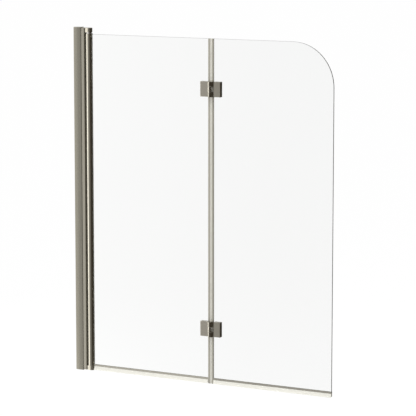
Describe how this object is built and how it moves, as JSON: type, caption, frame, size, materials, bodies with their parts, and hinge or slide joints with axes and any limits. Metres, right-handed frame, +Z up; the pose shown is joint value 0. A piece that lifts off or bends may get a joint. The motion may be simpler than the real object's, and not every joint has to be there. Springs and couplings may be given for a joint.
{
  "type": "folding bath screen",
  "caption": "Frameless folding glass bath screen that pivots on a round tube at its wall channel and folds flat on clamp hinges, with a rounded upper corner and drip seals.",
  "frame": {"origin": "on the wall face, in the middle of the glass thickness, at the lower end of the wall channel", "axes": "+X along the closed screen away from the wall, -Y the side to which the outer panel folds, +Z up"},
  "size_m": [1.147, 0.0352, 1.4],
  "materials": {
    "satin_nickel_profile": "brushed satin nickel",
    "satin_nickel_casting": "satin nickel plating",
    "clear_glass": "clear, polished edges",
    "translucent_pvc": "translucent soft PVC",
    "dark_rubber": "matt",
    "white_nylon": "matt",
    "stainless_steel": "bright"
  },
  "bodies": {
    "wall_mount": {"wall_channel": "satin_nickel_profile", "bottom_channel_cap": "satin_nickel_casting", "top_channel_cap": "satin_nickel_casting", "clamp_screws": "stainless_steel"},
    "adjusting_frame": {"adjusting_profile": "satin_nickel_profile", "wiper_strip": "dark_rubber", "bottom_pivot_bracket": "satin_nickel_casting", "top_pivot_bracket": "satin_nickel_casting", "bottom_pivot_bush": "white_nylon", "top_pivot_bush": "white_nylon", "bottom_thrust_washer": "white_nylon", "bracket_screws": "stainless_steel"},
    "inner_panel": {"pivot_tube": "satin_nickel_profile", "top_thrust_washer": "stainless_steel", "bottom_pivot_plug": "white_nylon", "top_pivot_plug": "white_nylon", "bottom_pivot_pin": "stainless_steel", "top_pivot_pin": "stainless_steel", "glazing_gasket": "translucent_pvc", "inner_glass": "clear_glass", "inner_fold_seal": "translucent_pvc", "inner_bottom_seal": "translucent_pvc", "lower_hinge_inner_leaf": "satin_nickel_casting", "lower_hinge_inner_back_plate": "satin_nickel_casting", "lower_hinge_inner_gaskets": "dark_rubber", "lower_hinge_inner_sleeves": "white_nylon", "lower_hinge_inner_screws": "stainless_steel", "lower_hinge_pin": "stainless_steel", "lower_hinge_washers": "white_nylon", "upper_hinge_inner_leaf": "satin_nickel_casting", "upper_hinge_inner_back_plate": "satin_nickel_casting", "upper_hinge_inner_gaskets": "dark_rubber", "upper_hinge_inner_sleeves": "white_nylon", "upper_hinge_inner_screws": "stainless_steel", "upper_hinge_pin": "stainless_steel", "upper_hinge_washers": "white_nylon"},
    "outer_panel": {"outer_glass": "clear_glass", "outer_fold_seal": "translucent_pvc", "outer_bottom_seal": "translucent_pvc", "lower_hinge_outer_leaf": "satin_nickel_casting", "lower_hinge_outer_back_plate": "satin_nickel_casting", "lower_hinge_outer_gaskets": "dark_rubber", "lower_hinge_outer_sleeves": "white_nylon", "lower_hinge_outer_screws": "stainless_steel", "upper_hinge_outer_leaf": "satin_nickel_casting", "upper_hinge_outer_back_plate": "satin_nickel_casting", "upper_hinge_outer_gaskets": "dark_rubber", "upper_hinge_outer_sleeves": "white_nylon", "upper_hinge_outer_screws": "stainless_steel"}
  },
  "joints": [
    {"name": "wall_adjust", "type": "slide", "parent": "wall_mount", "child": "adjusting_frame", "axis": [1, 0, 0], "range_m": [-0.005, 0.012]},
    {"name": "panel_swing", "type": "hinge", "parent": "adjusting_frame", "child": "inner_panel", "pos_m": [0.0669, 0, 0], "axis": [0, 0, 1], "range_deg": [-90, 90]},
    {"name": "panel_fold", "type": "hinge", "parent": "inner_panel", "child": "outer_panel", "pos_m": [0.6197, -0.015, 0], "axis": [0, 0, -1], "range_deg": [0, 180]}
  ]
}
